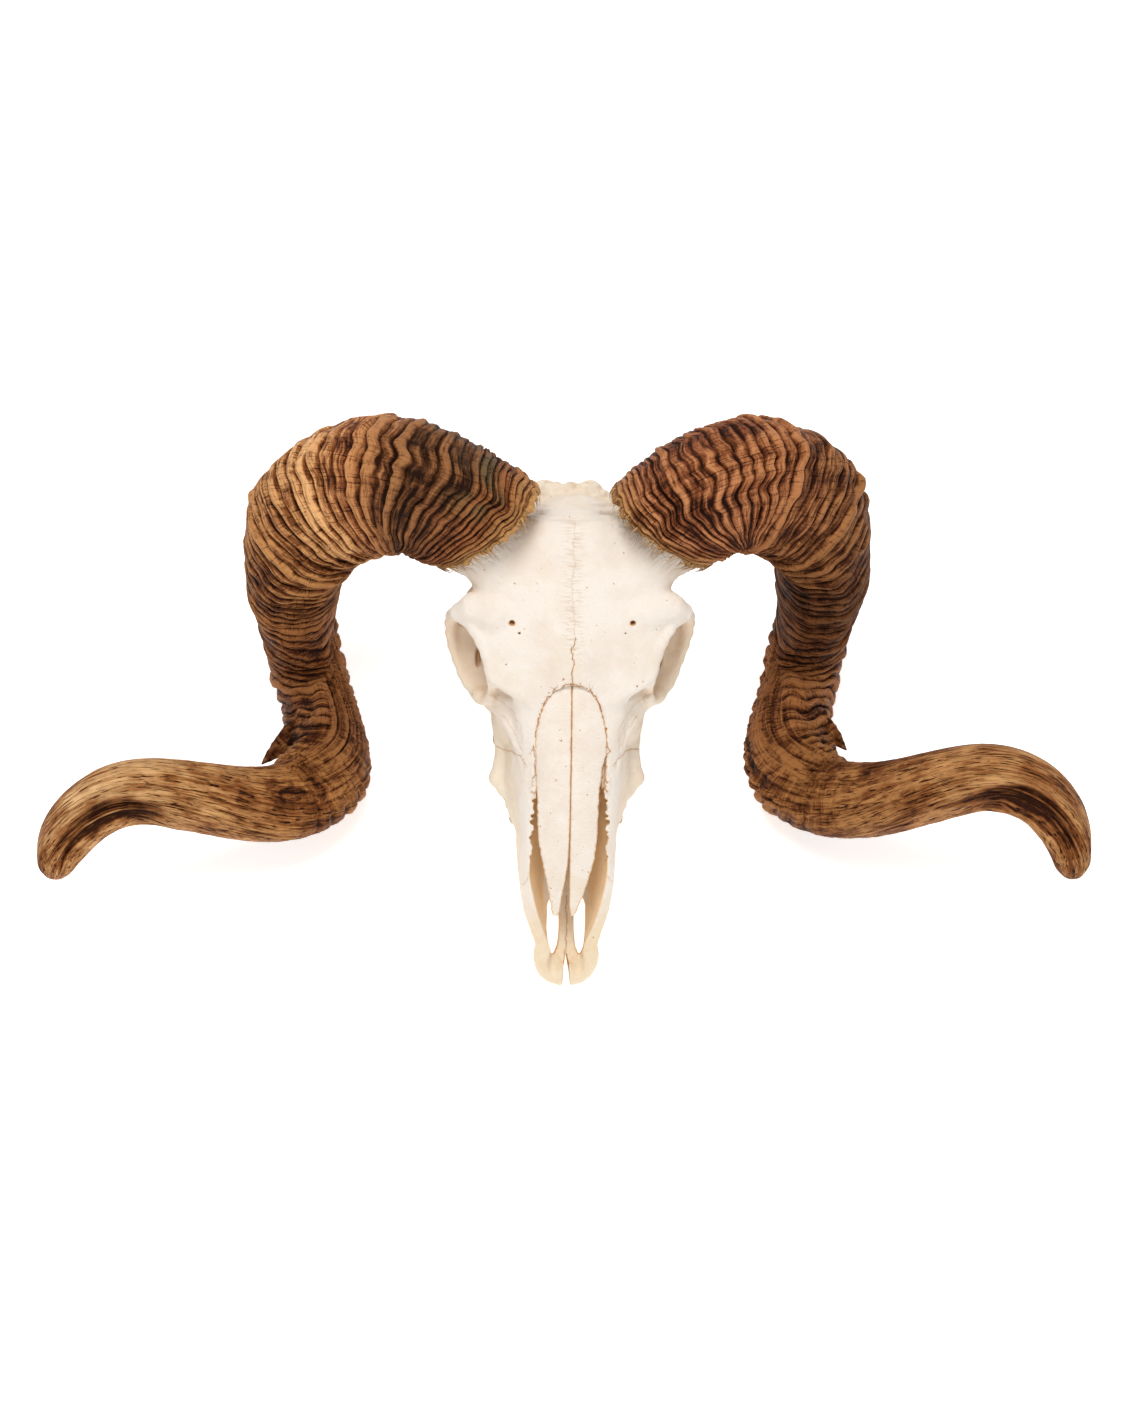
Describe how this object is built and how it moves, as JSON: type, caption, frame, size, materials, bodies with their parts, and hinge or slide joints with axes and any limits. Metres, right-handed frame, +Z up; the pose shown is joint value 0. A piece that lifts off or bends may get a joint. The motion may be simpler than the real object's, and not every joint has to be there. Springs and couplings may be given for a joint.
{
  "type": "ram skull",
  "caption": "Ram skull with both ridged, spirally curled horns, lying face up on its muzzle tips and the low bends of the horns.",
  "frame": {"origin": "centre of the base of the bounding box, on the surface that the skull lies on", "axes": "+Z up, +X towards the viewer's right when the face is seen from above with the muzzle nearest, -Y towards the muzzle's end"},
  "size_m": [0.5854, 0.267, 0.2374],
  "materials": {
    "bone": "matte, ivory bone",
    "horn": "satin, brown ridged horn"
  },
  "bodies": {
    "root": {"cranium": "bone", "upper_jaw": "bone", "premaxilla_left": "bone", "premaxilla_right": "bone", "nasal_left": "bone", "nasal_right": "bone", "horn_left_base": "horn", "horn_left_curl": "horn", "horn_left_tip": "horn", "horn_right_base": "horn", "horn_right_curl": "horn", "horn_right_tip": "horn"}
  },
  "joints": []
}
